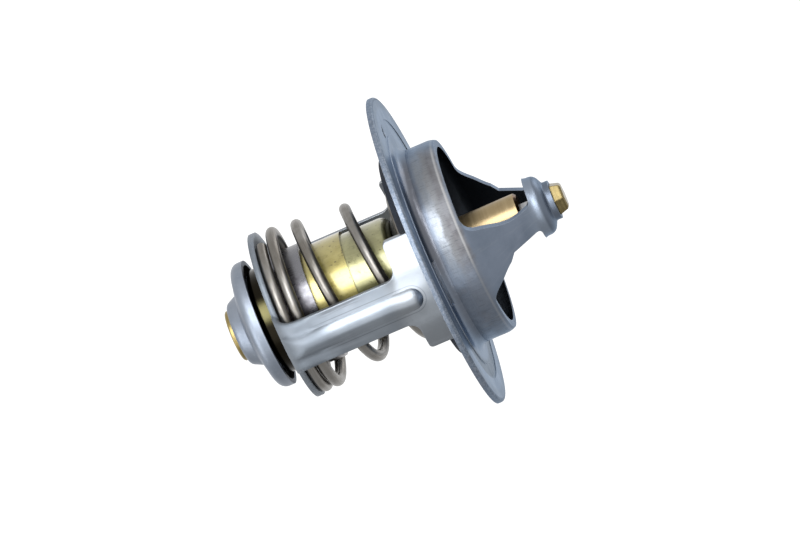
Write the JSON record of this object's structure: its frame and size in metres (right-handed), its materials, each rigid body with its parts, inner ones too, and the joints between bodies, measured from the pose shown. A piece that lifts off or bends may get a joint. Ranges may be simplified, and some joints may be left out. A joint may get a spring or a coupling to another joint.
{
  "type": "engine thermostat",
  "caption": "Wax thermostat for an engine's cooling circuit: flanged bridge, lower frame, sprung main valve and a sprung bypass disc.",
  "frame": {"origin": "centre of the flange's underside, on the thermostat's axis", "axes": "+Z along the axis towards the bridge's cap, +Y through one arm and one leg, -X towards the vent hole"},
  "size_m": [0.0538, 0.0538, 0.0587],
  "materials": {
    "bridge_steel": "satin pickled steel sheet with brown and violet mottling",
    "frame_steel": "bright pressed steel sheet",
    "tip_brass": "machined brass",
    "rod_steel": "ground and polished steel",
    "spring_steel": "polished spring wire",
    "cup_brass": "drawn brass, slightly tarnished to olive",
    "guide_brass": "machined brass",
    "washer_plastic": "white fluoroplastic",
    "boot_rubber": "black rubber",
    "wax": "copper-filled wax",
    "plate_steel": "plain steel sheet",
    "seal_rubber": "black moulded rubber",
    "rivet_brass": "tarnished brass",
    "bypass_steel": "matte steel sheet"
  },
  "bodies": {
    "frame": {"flange_bridge": "bridge_steel", "lower_frame": "frame_steel", "tip_nut": "tip_brass", "piston_rod": "rod_steel", "main_spring": "spring_steel"},
    "element": {"wax_cup": "cup_brass", "upper_case": "cup_brass", "guide_sleeve": "guide_brass", "backup_washer": "washer_plastic", "rubber_boot": "boot_rubber", "wax_charge": "wax", "valve_plate": "plate_steel", "valve_seal": "seal_rubber", "plate_ring": "plate_steel", "bypass_rivet": "rivet_brass", "bypass_spring": "spring_steel"},
    "bypass": {"bypass_disc": "bypass_steel"}
  },
  "joints": [
    {"name": "element_slide", "type": "slide", "parent": "frame", "child": "element", "axis": [0, 0, -1], "range_m": [0, 0.008], "stiffness_N_per_m": 2900, "springref_m": -0.015, "deforming": ["main_spring"]},
    {"name": "bypass_slide", "type": "slide", "parent": "element", "child": "bypass", "axis": [0, 0, 1], "range_m": [0, 0.0013], "stiffness_N_per_m": 2900, "springref_m": -0.0015, "deforming": ["bypass_spring"]}
  ]
}
